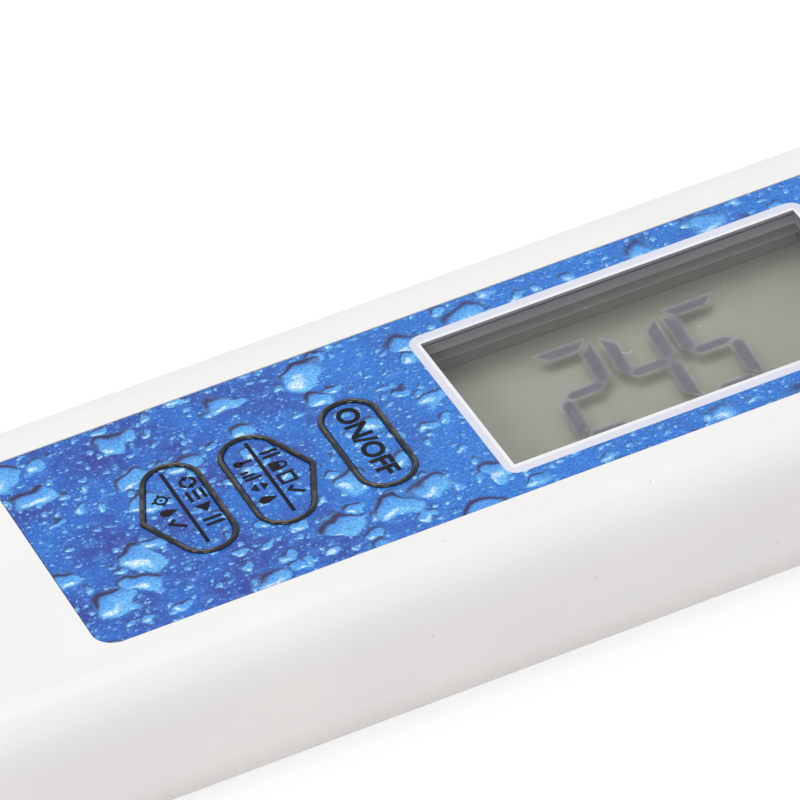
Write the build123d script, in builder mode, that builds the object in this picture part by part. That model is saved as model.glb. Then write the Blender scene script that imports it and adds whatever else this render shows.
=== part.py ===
"""Pen-shaped water quality tester, lying on its back with the keys and the display up.

+X runs along the body from the probe to the battery end, +Y is the far side of the keys and +Z is up.
The origin is at the middle of the whole length and width, on the back face. All sizes are in millimetres.
"""

import os

from build123d import *

os.makedirs("parts", exist_ok=True)

# Housing: the front shell goes down to a flat back cover
body_side_margin = 6.8
body_corner = 4.45
neck_width = 30.0
neck_length = 2.0
shoulder_length = 11.0
wall = 2.0
seam_chamfer = 0.15
chamfer_for_round = 2 - 2**0.5
seal_width = 0.7
seal_height = 0.6
seal_cover = 0.4
lip_gap = 0.15
lip_thickness = 1.0
lip_height = 1.5
lip_end_gap = 0.3
rib_thickness = 1.0
ceiling_rib_height = 3.4
floor_rib_height = 2.2
retainer_height = 0.8
retainer_setback = 2.4
part_gap = 0.15

# End caps
cap_well_length = 5.65
cap_tip_width = 26.4
cap_tip_corner = 7.5
cap_wall = 1.6
cap_end_wall = 2.6
cap_fit = 0.3
cap_seal_fit = 0.06
battery_cap_corner = 9.0
battery_cap_wall = 1.2
grip_radius = 0.9
grip_depth = 0.35
grip_pitch = 2.0
grip_count = 5
grip_setback = 11.0
battery_grip_setback = 5.0
grip_margin = 0.3

# Printed film and its recess
label_setback = 26.0
label_end_margin = 9.65
label_edge_margin = 4.1
label_corner = 2.0
recess_depth = 0.3
film_thickness = 0.25
film_gap = 0.1

# Keys: places are measured from the film's probe end
key_offset = -0.6
power_key_place = 29.6
hold_key_place = 17.6
mode_key_place = 15.98
key_height = 13.35
capsule_width = 5.5
shield_length = 7.2
shield_end_radius = 2.75
shield_tip_radius = 0.6
rim_stroke = 0.5
rim_height = 0.25
rim_chamfer = 0.15
key_gap = 0.1
key_thickness = 0.4
key_travel = 0.3
key_stop_gap = 0.15
plunger_radius = 1.8
plunger_gap = 0.15

# Display
window_place = 38.9
window_length = 35.45
window_width = 19.8
window_offset = -0.18
pane_fit = 0.02
pane_flange = 0.2
bezel_wall = 0.5
bezel_fit = 0.05
bezel_flange = 0.5
glass_depth = 1.4
glass_margin = 2.0
glass_ledge = 3.1
front_glass_thickness = 1.5
rear_glass_thickness = 1.2
rear_glass_inset = 2.4
reflector_thickness = 0.2
holder_wall = 1.0
holder_fit = 0.15
holder_drop = 0.15
holder_rib = 1.8
strip_width = 1.8
strip_fit = 0.15
strip_end = 1.6

# Circuit board
board_depth = 6.85
board_thickness = 1.6
board_side_margin = 0.05
board_corner = 1.0
board_probe_setback = 17.0
board_battery_setback = 6.6
board_edge_gap = 0.2
switch_width = 6.0
switch_height = 3.5
stem_radius = 1.7
stem_gap = 0.1
stem_height = 0.8
stem_depth = 0.7
stem_room = 0.4
chip_width = 10.0
chip_thickness = 1.4
amplifier_width = 6.0
crystal_length = 7.0
crystal_width = 6.0
crystal_thickness = 3.0
crystal_setback = 14.8
component_length = 2.0
component_width = 1.25
component_height = 0.9
component_count = 6
component_pitch = 3.4
socket_length = 6.0
socket_width = 13.0
socket_height = 4.0
lead_thickness = 0.8
lead_width = 9.0
lead_bend = 2.0
lead_run = 3.0

# Screws
screw_radius = 1.0
screw_hole_gap = 0.05
screw_head_radius = 1.9
screw_head_height = 1.5
drive_width = 0.6
drive_length = 2.2
drive_depth = 0.8
housing_screw_length = 7.5
boss_meeting_height = 7.2
boss_side_gap = 1.0
boss_end_gap = 0.2
housing_screw_setback = 18.0
counterbore_radius = 2.2
counterbore_depth = 3.5
front_boss_radius = 2.2
rear_boss_radius = 2.9
board_screw_length = 4.6
board_screw_spread = 18.4
board_screw_end_spread = 15.0
board_screw_probe_inset = 2.6
board_screw_inset = 3.5
board_boss_radius = 2.1

# Battery end
cell_radius = 5.8
cell_thickness = 5.4
cell_count = 4
cell_gap = 0.1
cell_room = 0.25
cell_setback = 3.5
cell_tip_room = 1.1
contact_thickness = 0.3
contact_height = 2.0
contact_slot_gap = 0.1
contact_tail = 1.0
spring_length = 2.4
spring_span = 9.0
spring_width = 4.0
spring_thickness = 0.3
holder_neck_length = 6.0
neck_fit = 0.1
groove_depth = 0.7
seal_ring_width = 1.4
seal_ring_setback = 0.9
battery_holder_end_gap = 0.6

# Probe
probe_flange_length = 6.0
collar_length = 8.0
nose_length = 14.0
electrode_side_room = 5.5
sensor_side_room = 3.4
bulb_gap = 0.5
spigot_length = 4.0
spigot_step = 1.1
guard_length = 8.5
guard_fit = 0.05
guard_slot_width = 3.2
guard_slot_pitch = 5.4
guard_slot_count = 3
guard_bridge = 1.2
potting_length = 9.0
potting_gap = 0.2
electrode_radius = 3.0
electrode_wall = 0.5
electrode_fit = 0.05
electrode_reach = 1.6
bulb_radius = 3.1
bulb_wall = 0.35
inner_wire_radius = 0.3
inner_wire_reach = 3.0
junction_radius = 0.8
junction_spacing = 5.6
junction_proud = 0.6
pin_radius = 0.8
pin_reach = 6.0
pin_spacing = 3.0
pin_spread = 3.4
sensor_radius = 1.4
sensor_spacing = 3.5
tip_chamfer = 0.4
sensor_reach = 6.6
sponge_length = 5.4
sponge_gap = 0.3

# Sizes that follow from what a piece holds
label_width = window_width + 2 * label_edge_margin
body_width = label_width + 2 * body_side_margin
sensor_row = junction_spacing + pin_spacing + sensor_spacing
nose_width = electrode_side_room + sensor_row + sensor_side_room
nose_thickness = 2 * (bulb_radius + bulb_gap + spigot_step)
electrode_offset = electrode_side_room - nose_width / 2
junction_offset = electrode_offset + junction_spacing
pin_offset = junction_offset + pin_spacing
sensor_offset = pin_offset + sensor_spacing
potting_width = 2 * (sensor_offset + sensor_radius)
potting_thickness = 2 * (electrode_radius + potting_gap)
body_thickness = 2 * (cell_radius + cell_room + battery_cap_wall)
probe_length = collar_length + nose_length + spigot_length + guard_length
cap_length = cap_end_wall + sponge_length + cap_well_length + probe_length - part_gap
battery_cap_length = (
    cell_setback + 2 * cell_radius + cell_tip_room + battery_holder_end_gap + battery_cap_wall
)
holder_side_room = holder_fit + holder_wall
holder_margin = glass_margin + holder_side_room
glass_width = window_width + 2 * glass_ledge
holder_width = glass_width + 2 * holder_side_room
board_width = holder_width + 2 * board_side_margin
end_room = boss_end_gap + front_boss_radius + board_screw_inset + board_battery_setback
housing_length = label_setback + window_place + window_length + holder_margin + end_room
label_length = window_place + window_length + label_end_margin
key_pocket_depth = key_thickness - film_thickness + key_travel + key_stop_gap
switch_bore_depth = stem_depth + key_travel + stem_room

# Places along the length
total_length = cap_length + part_gap + housing_length + part_gap + battery_cap_length
cap_tip = -total_length / 2
cap_mouth = cap_tip + cap_length
housing_start = cap_mouth + part_gap
housing_end = housing_start + housing_length
battery_mouth = housing_end + part_gap
battery_tip = battery_mouth + battery_cap_length
label_start = housing_start + label_setback
label_middle = label_start + label_length / 2
window_middle = label_start + window_place + window_length / 2

# Heights
parting_height = wall
middle_height = body_thickness / 2
ceiling = body_thickness - wall
label_floor = body_thickness - recess_depth
label_top = label_floor + film_thickness
board_top = label_top - board_depth
glass_top = label_top - glass_depth
front_glass_bottom = glass_top - front_glass_thickness
rear_glass_bottom = front_glass_bottom - rear_glass_thickness
reflector_bottom = rear_glass_bottom - reflector_thickness
board_bottom = board_top - board_thickness
bezel_top = label_floor - pane_flange
bezel_flange_top = glass_top + bezel_flange
key_pocket_floor = label_floor - key_pocket_depth
switch_top = board_top + switch_height
stem_top = switch_top + stem_height

key_centres = {
    "power": label_start + power_key_place,
    "hold": label_start + hold_key_place + shield_length / 2,
    "mode": label_start + mode_key_place - shield_length / 2,
}
shield_directions = {"hold": 1, "mode": -1}


def cross_plane(x):
    """The plane across the body at x, with its origin at mid thickness."""
    return Plane(origin=(x, 0, middle_height), x_dir=(0, 1, 0), z_dir=(1, 0, 0))


def draw_housing_plan(reach):
    """The housing seen from above, its two ends carried on by reach."""
    neck = neck_width / 2
    side = body_width / 2
    shoulder_start = housing_start + neck_length
    shoulder_end = shoulder_start + shoulder_length
    shoulder_middle = ((shoulder_start + shoulder_end) / 2, (neck + side) / 2)
    with BuildLine() as plan:
        Line((housing_start - reach, 0), (housing_start - reach, neck))
        Line((housing_start - reach, neck), (shoulder_start, neck))
        TangentArc((shoulder_start, neck), shoulder_middle, tangent=(1, 0))
        TangentArc((shoulder_end, side), shoulder_middle, tangent=(-1, 0))
        Line((shoulder_end, side), (housing_end + reach, side))
        Line((housing_end + reach, side), (housing_end + reach, 0))
        mirror(about=Plane.XZ)
    make_face(plan.edges())


def between_ends(edges, ends):
    """The given edges without those that lie in an end plane."""
    return edges.filter_by(lambda edge: all(abs(edge.center().X - end) > seam_chamfer for end in ends))


def soften(form, ends, inset):
    """Round a form's long edges above and below, or chamfer them on a hidden form inside it."""
    outer = form.faces().sort_by(Axis.Z)
    rims = between_ends(outer[0].edges() + outer[-1].edges(), ends)
    if inset:
        chamfer(rims, length=chamfer_for_round * (body_corner - inset))
    else:
        fillet(rims, radius=body_corner)


def housing_form(inset):
    """The housing's outer form, or the form inside it at the given inset."""
    with BuildPart() as form:
        with BuildSketch(Plane.XY.offset(inset)):
            draw_housing_plan(inset)
            if inset:
                offset(amount=-inset)
        extrude(amount=body_thickness - 2 * inset)
        soften(form, (housing_start, housing_end), inset)
    return form.part


def cap_form(mouth, tip, mouth_width, tip_width, corner, inset, reach=0):
    """An end cap's outer form, or the form inside it at the given inset, its mouth carried on by reach."""
    way = 1 if tip > mouth else -1
    start = mouth - way * (inset + reach)
    slope = (tip_width - mouth_width) / 2 / (tip - mouth)
    start_side = mouth_width / 2 + slope * (start - mouth)
    with BuildPart() as form:
        with BuildSketch(Plane.XY.offset(inset)) as plan:
            with BuildLine():
                Polyline(
                    (start, -start_side),
                    (tip, -tip_width / 2),
                    (tip, tip_width / 2),
                    (start, start_side),
                    close=True,
                )
            make_face()
            fillet(plan.vertices().sort_by(Axis.X, reverse=way < 0)[-2:], radius=corner)
            if inset:
                offset(amount=-inset)
        extrude(amount=body_thickness - 2 * inset)
        soften(form, (mouth - way * reach,), inset)
    return form.part


def protective_form(inset, reach=0):
    """The protective cap's form at the given inset."""
    return cap_form(cap_mouth, cap_tip, neck_width, cap_tip_width, cap_tip_corner, inset, reach)


def battery_form(inset, reach=0):
    """The battery cap's form at the given inset."""
    return cap_form(battery_mouth, battery_tip, body_width, body_width, battery_cap_corner, inset, reach)


def draw_key(name, inset):
    """One key's outline from above, inset all round, at the key's own place."""
    centre = key_centres[name]
    with Locations((centre, key_offset)):
        if name == "power":
            SlotOverall(key_height - 2 * inset, capsule_width - 2 * inset, rotation=90)
            return
    way = shield_directions[name]
    flat = centre - way * shield_length / 2
    end = flat + way * shield_end_radius
    tip = flat + way * (shield_length - shield_tip_radius)
    reach = key_height / 2 - shield_end_radius
    with BuildLine() as rounds:
        for side in (1, -1):
            CenterArc((end, key_offset + side * reach), shield_end_radius, 0, 360)
        CenterArc((tip, key_offset), shield_tip_radius, 0, 360)
    make_hull(rounds.edges())
    if inset:
        offset(amount=-inset)


def draw_opening(width, thickness, corner, mode=Mode.ADD):
    """A section of the housing's inside: bevelled above, square below, where the back cover shuts it."""
    half = thickness / 2
    bevel = chamfer_for_round * corner
    with BuildLine() as outline:
        Polyline(
            (-width / 2, -half),
            (-width / 2, half - bevel),
            (bevel - width / 2, half),
            (width / 2 - bevel, half),
            (width / 2, half - bevel),
            (width / 2, -half),
            close=True,
        )
    make_face(outline.edges(), mode=mode)


def keep_between(low, high):
    """Cut the current part down to the stretch between two places along X."""
    with BuildSketch(cross_plane(low)) as slab:
        Rectangle(2 * body_width, 2 * body_thickness)
    extrude(slab.sketch, amount=high - low, mode=Mode.INTERSECT)


def cut_drive(plane):
    """A cross recess in a screw head that lies in the given plane."""
    with BuildSketch(plane) as cross:
        Rectangle(drive_length, drive_width)
        Rectangle(drive_width, drive_length)
    extrude(cross.sketch, amount=-drive_depth, mode=Mode.SUBTRACT)


def save(builder, name):
    """Label the finished piece and write it."""
    builder.part.label = name
    export_step(builder.part, f"parts/{name}.step")


# Forms that the shells and the ends share
outer_form = housing_form(0)
cavity = housing_form(wall)
neck_inner = neck_width - 2 * wall
body_inner = body_width - 2 * wall
inner_thickness = body_thickness - 2 * wall
inner_corner = body_corner - wall
probe_retainer = housing_start + retainer_setback
battery_retainer = housing_end - retainer_setback - rib_thickness

retainers = ((probe_retainer, neck_inner), (battery_retainer, body_inner))

# The front shell's inside, straight down to the back cover, with ribs that trap both end pieces
with BuildPart() as cavity_form:
    add(cavity)
    with BuildSketch(Plane.XY.offset(parting_height)):
        draw_housing_plan(wall)
        offset(amount=-wall)
    extrude(amount=middle_height - parting_height)
    for place, inner in retainers:
        with BuildSketch(cross_plane(place)):
            Rectangle(2 * body_width, 2 * body_thickness)
            draw_opening(
                inner - 2 * retainer_height,
                inner_thickness - 2 * retainer_height,
                inner_corner - retainer_height,
                Mode.SUBTRACT,
            )
            Rectangle(
                inner - 2 * retainer_height,
                body_thickness,
                align=(Align.CENTER, Align.MAX),
                mode=Mode.SUBTRACT,
            )
        extrude(amount=rib_thickness, mode=Mode.SUBTRACT)

board_start = housing_start + board_probe_setback
board_end = housing_end - board_battery_setback
end_screw_line = board_end - board_screw_inset
housing_screw_side = body_inner / 2 - boss_side_gap - rear_boss_radius
housing_screw_places = [
    (x, side * housing_screw_side)
    for x in (housing_start + housing_screw_setback, end_screw_line)
    for side in (1, -1)
]
board_screw_places = [
    (board_start + board_screw_probe_inset, side * board_screw_spread / 2) for side in (1, -1)
] + [(end_screw_line, side * board_screw_end_spread / 2) for side in (1, -1)]

glass_length = window_length + 2 * glass_margin
holder_length = window_length + 2 * holder_margin
window_centre = (window_middle, window_offset)

# The two strips of cord seal in the back cover, half under the front shell's wall
seal_inset = wall - seal_cover
with BuildPart() as seal_form:
    for inset, mode in ((seal_inset, Mode.ADD), (seal_inset + seal_width, Mode.SUBTRACT)):
        with BuildSketch(Plane.XY.offset(parting_height - seal_height)):
            draw_housing_plan(wall)
            offset(amount=-inset)
        extrude(amount=seal_height, mode=mode)
    keep_between(housing_start, housing_end)

# The back cover's lip, which stands just inside the front shell's wall
with BuildPart() as lip_form:
    for inset, mode in ((wall + lip_gap, Mode.ADD), (wall + lip_gap + lip_thickness, Mode.SUBTRACT)):
        with BuildSketch(Plane.XY.offset(parting_height)):
            draw_housing_plan(wall)
            offset(amount=-inset)
        extrude(amount=lip_height, mode=mode)
    keep_between(
        housing_start + probe_flange_length + lip_end_gap, housing_end - holder_neck_length - lip_end_gap
    )

with BuildPart() as housing_seal:
    add(seal_form.part)
save(housing_seal, "housing_seal")

# Front shell: recess, window, key pockets, screw bosses and ceiling ribs
with BuildPart() as front_shell:
    add(outer_form)
    split(bisect_by=Plane.XY.offset(parting_height), keep=Keep.TOP)
    seam = front_shell.faces().sort_by(Axis.Z)[0].edges()
    chamfer(between_ends(seam, (housing_start, housing_end)), length=seam_chamfer)
    add(cavity_form.part, mode=Mode.SUBTRACT)
    with BuildSketch(Plane.XY.offset(label_floor)):
        with Locations((label_middle, 0)):
            RectangleRounded(
                label_length + 2 * film_gap, label_width + 2 * film_gap, label_corner + film_gap
            )
    extrude(amount=recess_depth, mode=Mode.SUBTRACT)
    with BuildSketch(Plane.XY.offset(glass_top)):
        with Locations(window_centre):
            Rectangle(
                window_length + 2 * (bezel_wall + bezel_fit), window_width + 2 * (bezel_wall + bezel_fit)
            )
    extrude(amount=glass_depth, mode=Mode.SUBTRACT)
    with BuildSketch(Plane.XY.offset(ceiling)):
        with Locations(window_centre):
            Rectangle(holder_length + 2 * holder_fit, holder_width + 2 * holder_fit)
    extrude(amount=bezel_flange_top - ceiling, mode=Mode.SUBTRACT)
    with BuildSketch(Plane.XY.offset(ceiling - ceiling_rib_height)):
        with Locations(
            (window_middle - holder_length / 2 - rib_thickness - holder_fit, 0),
            (key_centres["mode"] - shield_length, 0),
        ):
            Rectangle(rib_thickness, body_inner)
    extrude(amount=ceiling_rib_height)
    with BuildSketch(Plane.XY.offset(boss_meeting_height)):
        with Locations(*housing_screw_places):
            Circle(front_boss_radius)
    extrude(amount=ceiling - boss_meeting_height)
    with BuildSketch(Plane.XY.offset(boss_meeting_height)):
        with Locations(*housing_screw_places):
            Circle(screw_radius + screw_hole_gap)
    extrude(amount=housing_screw_length - boss_meeting_height + counterbore_depth, mode=Mode.SUBTRACT)
    for key in key_centres:
        with BuildSketch(Plane.XY.offset(key_pocket_floor)):
            draw_key(key, rim_stroke)
        extrude(amount=key_pocket_depth, mode=Mode.SUBTRACT)
        with BuildSketch(Plane.XY.offset(ceiling)):
            with Locations((key_centres[key], key_offset)):
                Circle(plunger_radius + plunger_gap)
        extrude(amount=key_pocket_floor - ceiling, mode=Mode.SUBTRACT)
save(front_shell, "front_shell")

# Rear shell: the back cover with its lip, counterbored screw bosses, board bosses and floor ribs
with BuildPart() as rear_shell:
    add(outer_form)
    split(bisect_by=Plane.XY.offset(parting_height), keep=Keep.BOTTOM)
    seam = rear_shell.faces().sort_by(Axis.Z)[-1].edges()
    chamfer(between_ends(seam, (housing_start, housing_end)), length=seam_chamfer)
    add(seal_form.part, mode=Mode.SUBTRACT)
    add(lip_form.part)
    with BuildSketch(Plane.XY.offset(parting_height)):
        with Locations((label_start, 0), (label_middle, 0)):
            Rectangle(rib_thickness, body_inner - 2 * (lip_gap + lip_thickness))
    extrude(amount=floor_rib_height)
    with BuildSketch(Plane.XY.offset(parting_height)):
        for place, inner in retainers:
            with Locations((place, 0)):
                Rectangle(
                    rib_thickness,
                    inner - 2 * (retainer_height + lip_gap),
                    align=(Align.MIN, Align.CENTER),
                )
    extrude(amount=retainer_height)
    with BuildSketch(Plane.XY.offset(parting_height)):
        with Locations(*housing_screw_places):
            Circle(rear_boss_radius)
    extrude(amount=boss_meeting_height - parting_height)
    with BuildSketch(Plane.XY.offset(parting_height)):
        with Locations(*board_screw_places):
            Circle(board_boss_radius)
    extrude(amount=board_bottom - parting_height)
    with BuildSketch(Plane.XY.offset(parting_height)):
        with Locations(*board_screw_places):
            Circle(screw_radius + screw_hole_gap)
    extrude(amount=board_bottom - parting_height, mode=Mode.SUBTRACT)
    with BuildSketch(Plane.XY):
        with Locations(*housing_screw_places):
            Circle(counterbore_radius)
    extrude(amount=counterbore_depth, mode=Mode.SUBTRACT)
    with BuildSketch(Plane.XY):
        with Locations(*housing_screw_places):
            Circle(screw_radius + screw_hole_gap)
    extrude(amount=boss_meeting_height, mode=Mode.SUBTRACT)
save(rear_shell, "rear_shell")

with BuildPart() as housing_screws:
    with BuildSketch(Plane.XY.offset(counterbore_depth - screw_head_height)):
        with Locations(*housing_screw_places):
            Circle(screw_head_radius)
    extrude(amount=screw_head_height)
    with BuildSketch(Plane.XY.offset(counterbore_depth)):
        with Locations(*housing_screw_places):
            Circle(screw_radius)
    extrude(amount=housing_screw_length)
    for place in housing_screw_places:
        head = Vector(*place, counterbore_depth - screw_head_height)
        cut_drive(Plane(origin=head, z_dir=(0, 0, -1)))
save(housing_screws, "housing_screws")

# Printed film with its key and window openings
with BuildPart() as label_overlay:
    with BuildSketch(Plane.XY.offset(label_floor)):
        with Locations((label_middle, 0)):
            RectangleRounded(label_length, label_width, label_corner)
        with Locations(window_centre):
            Rectangle(window_length, window_width, mode=Mode.SUBTRACT)
    extrude(amount=film_thickness)
    for key in key_centres:
        with BuildSketch(Plane.XY.offset(label_floor)):
            draw_key(key, rim_stroke)
        extrude(amount=film_thickness, mode=Mode.SUBTRACT)
save(label_overlay, "label_overlay")

# Raised outlines round the keys
with BuildPart() as key_rims:
    for key in key_centres:
        with BuildSketch(Plane.XY.offset(label_top)):
            draw_key(key, 0)
        extrude(amount=rim_height)
    for key in key_centres:
        with BuildSketch(Plane.XY.offset(label_top)):
            draw_key(key, rim_stroke)
        extrude(amount=rim_height, mode=Mode.SUBTRACT)
    chamfer(key_rims.faces().group_by(Axis.Z)[-1].edges(), length=rim_chamfer)
save(key_rims, "key_rims")

# Keys: a face in the film's opening, with a plunger down to its switch
for key in key_centres:
    with BuildPart() as key_part:
        with BuildSketch(Plane.XY.offset(label_top - key_thickness)):
            draw_key(key, rim_stroke + key_gap)
        extrude(amount=key_thickness)
        with BuildSketch(Plane.XY.offset(stem_top)):
            with Locations((key_centres[key], key_offset)):
                Circle(plunger_radius)
        extrude(amount=label_top - key_thickness - stem_top)
    save(key_part, f"{key}_key")

    with BuildPart() as switch_stem:
        with BuildSketch(Plane.XY.offset(switch_top - stem_depth)):
            with Locations((key_centres[key], key_offset)):
                Circle(stem_radius)
        extrude(amount=stem_depth + stem_height)
    save(switch_stem, f"{key}_switch_stem")

switch_places = [(x, key_offset) for x in key_centres.values()]
with BuildPart() as key_switches:
    with BuildSketch(Plane.XY.offset(board_top)):
        with Locations(*switch_places):
            Rectangle(switch_width, switch_width)
    extrude(amount=switch_height)
    with BuildSketch(Plane.XY.offset(switch_top)):
        with Locations(*switch_places):
            Circle(stem_radius + stem_gap)
    extrude(amount=-switch_bore_depth, mode=Mode.SUBTRACT)
save(key_switches, "key_switches")

# Display: pane, bezel, glass plates, reflector, holder and contact strips
with BuildPart() as display_window:
    with BuildSketch(Plane.XY.offset(bezel_top)):
        with Locations(window_centre):
            Rectangle(window_length + 2 * bezel_wall, window_width + 2 * bezel_wall)
    extrude(amount=pane_flange)
    with BuildSketch(Plane.XY.offset(label_floor)):
        with Locations(window_centre):
            Rectangle(window_length - 2 * pane_fit, window_width - 2 * pane_fit)
    extrude(amount=film_thickness)
save(display_window, "display_window")

with BuildPart() as display_bezel:
    with BuildSketch(Plane.XY.offset(glass_top)):
        with Locations(window_centre):
            Rectangle(holder_length, holder_width)
    extrude(amount=bezel_flange)
    with BuildSketch(Plane.XY.offset(bezel_flange_top)):
        with Locations(window_centre):
            Rectangle(window_length + 2 * bezel_wall, window_width + 2 * bezel_wall)
    extrude(amount=bezel_top - bezel_flange_top)
    with BuildSketch(Plane.XY.offset(glass_top)):
        with Locations(window_centre):
            Rectangle(window_length, window_width)
    extrude(amount=bezel_top - glass_top, mode=Mode.SUBTRACT)
save(display_bezel, "display_bezel")

rear_glass_width = glass_width - 2 * rear_glass_inset
plates = {
    "lcd_front_glass": (front_glass_bottom, front_glass_thickness, glass_width),
    "lcd_rear_glass": (rear_glass_bottom, rear_glass_thickness, rear_glass_width),
    "lcd_reflector": (reflector_bottom, reflector_thickness, rear_glass_width),
}
for name, (bottom, thickness, width) in plates.items():
    with BuildPart() as plate:
        with BuildSketch(Plane.XY.offset(bottom)):
            with Locations(window_centre):
                Rectangle(glass_length, width)
        extrude(amount=thickness)
    save(plate, name)

strip_length = glass_length - 2 * strip_end
strip_centre = (glass_width - rear_glass_inset) / 2
strip_places = [(window_middle, window_offset + side * strip_centre) for side in (1, -1)]
with BuildPart() as zebra_strips:
    with BuildSketch(Plane.XY.offset(board_top)):
        with Locations(*strip_places):
            Rectangle(strip_length, strip_width)
    extrude(amount=front_glass_bottom - board_top)
save(zebra_strips, "zebra_strips")

with BuildPart() as lcd_holder:
    with BuildSketch(Plane.XY.offset(board_top)):
        with Locations(window_centre):
            Rectangle(holder_length, holder_width)
    extrude(amount=glass_top - holder_drop - board_top)
    with BuildSketch(Plane.XY.offset(reflector_bottom)):
        with Locations(window_centre):
            Rectangle(glass_length + 2 * holder_fit, glass_width + 2 * holder_fit)
    extrude(amount=glass_top - reflector_bottom, mode=Mode.SUBTRACT)
    with BuildSketch(Plane.XY.offset(board_top)):
        with Locations(*strip_places):
            Rectangle(strip_length + 2 * strip_fit, strip_width + 2 * strip_fit)
        with Locations(window_centre):
            Rectangle(glass_length - 2 * holder_rib, rear_glass_width - 2 * holder_rib)
    extrude(amount=reflector_bottom - board_top, mode=Mode.SUBTRACT)
save(lcd_holder, "lcd_holder")

# Circuit board and what stands on it
with BuildPart() as main_board:
    with BuildSketch(Plane.XY.offset(board_bottom)):
        with Locations(((board_start + board_end) / 2, 0)):
            RectangleRounded(board_end - board_start, board_width, board_corner)
        with Locations(*housing_screw_places):
            Circle(rear_boss_radius + board_edge_gap, mode=Mode.SUBTRACT)
        with Locations(*board_screw_places):
            Circle(screw_radius + screw_hole_gap, mode=Mode.SUBTRACT)
    extrude(amount=board_thickness)
save(main_board, "main_board")

with BuildPart() as board_screws:
    with BuildSketch(Plane.XY.offset(board_top)):
        with Locations(*board_screw_places):
            Circle(screw_head_radius)
    extrude(amount=screw_head_height)
    with BuildSketch(Plane.XY.offset(board_top)):
        with Locations(*board_screw_places):
            Circle(screw_radius)
    extrude(amount=-board_screw_length)
    for place in board_screw_places:
        cut_drive(Plane(origin=Vector(*place, board_top + screw_head_height), z_dir=(0, 0, 1)))
save(board_screws, "board_screws")

for name, centre, size in (
    ("controller_chip", window_middle, chip_width),
    ("amplifier_chip", label_start, amplifier_width),
):
    with BuildPart() as chip:
        with BuildSketch(Plane.XY.offset(board_bottom)):
            with Locations((centre, 0)):
                Rectangle(size, size)
        extrude(amount=-chip_thickness)
    save(chip, name)

component_start = key_centres["mode"]
with BuildPart() as small_components:
    with BuildSketch(Plane.XY.offset(board_bottom)):
        for index in range(component_count):
            with Locations((component_start + index * component_pitch, 0)):
                with GridLocations(0, chip_width, 1, 2):
                    Rectangle(component_width, component_length)
    extrude(amount=-component_height)
save(small_components, "small_components")

with BuildPart() as clock_crystal:
    crystal_middle = board_end - crystal_setback
    axis_height = board_bottom - crystal_thickness / 2
    with BuildSketch(Plane(origin=(crystal_middle, 0, axis_height), x_dir=(1, 0, 0), z_dir=(0, 1, 0))):
        SlotOverall(crystal_width, crystal_thickness)
    extrude(amount=crystal_length / 2, both=True)
save(clock_crystal, "clock_crystal")

socket_start = board_start + 2 * board_corner
with BuildPart() as probe_socket:
    with BuildSketch(Plane.XY.offset(board_top)):
        with Locations((socket_start + socket_length / 2, 0)):
            Rectangle(socket_length, socket_width)
    extrude(amount=socket_height)
save(probe_socket, "probe_socket")

# Battery holder: a neck held in the housing and a fork that holds the cells inside the cap
cell_centre = battery_mouth + cell_setback + cell_radius
bay_length = cell_count * cell_thickness + spring_length + 2 * contact_thickness
bay_start = cell_centre - cell_radius - cell_gap
holder_tip = battery_tip - battery_cap_wall - battery_holder_end_gap
contact_start = board_end - contact_tail
seal_start = battery_mouth + seal_ring_setback
battery_plug = battery_form(battery_cap_wall + cap_fit, reach=part_gap)
battery_groove_floor = battery_form(battery_cap_wall + cap_fit + groove_depth)
battery_seal_outer = battery_form(battery_cap_wall + cap_seal_fit)

with BuildPart() as battery_seal_groove:
    add(battery_plug)
    add(battery_groove_floor, mode=Mode.SUBTRACT)
    keep_between(seal_start, seal_start + seal_ring_width)

with BuildPart() as battery_cap_seal:
    add(battery_seal_outer)
    add(battery_groove_floor, mode=Mode.SUBTRACT)
    keep_between(seal_start, seal_start + seal_ring_width)
save(battery_cap_seal, "battery_cap_seal")

with BuildPart() as battery_holder:
    add(battery_plug)
    keep_between(housing_end, holder_tip)
    with BuildSketch(cross_plane(housing_end)):
        draw_opening(body_inner - 2 * neck_fit, inner_thickness - 2 * neck_fit, inner_corner - neck_fit)
    extrude(amount=-holder_neck_length)
    with BuildSketch(cross_plane(battery_retainer - neck_fit)):
        Rectangle(2 * body_width, 2 * body_thickness)
        draw_opening(
            body_inner - 2 * (retainer_height + neck_fit),
            inner_thickness - 2 * (retainer_height + neck_fit),
            inner_corner - retainer_height - neck_fit,
            Mode.SUBTRACT,
        )
    extrude(amount=rib_thickness + 2 * neck_fit, mode=Mode.SUBTRACT)
    add(battery_seal_groove.part, mode=Mode.SUBTRACT)
    with BuildSketch(Plane.XY):
        with Locations((bay_start, 0)):
            Rectangle(battery_tip - bay_start, bay_length, align=(Align.MIN, Align.CENTER))
    extrude(amount=body_thickness, mode=Mode.SUBTRACT)
    with BuildSketch(Plane.XY.offset(board_top - contact_slot_gap)):
        for side in (1, -1):
            with Locations((bay_start, side * (bay_length - contact_thickness) / 2)):
                Rectangle(
                    battery_tip - contact_start,
                    contact_thickness + 2 * contact_slot_gap,
                    align=(Align.CENTER, Align.CENTER),
                )
    extrude(amount=contact_height + 2 * contact_slot_gap, mode=Mode.SUBTRACT)
save(battery_holder, "battery_holder")

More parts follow.
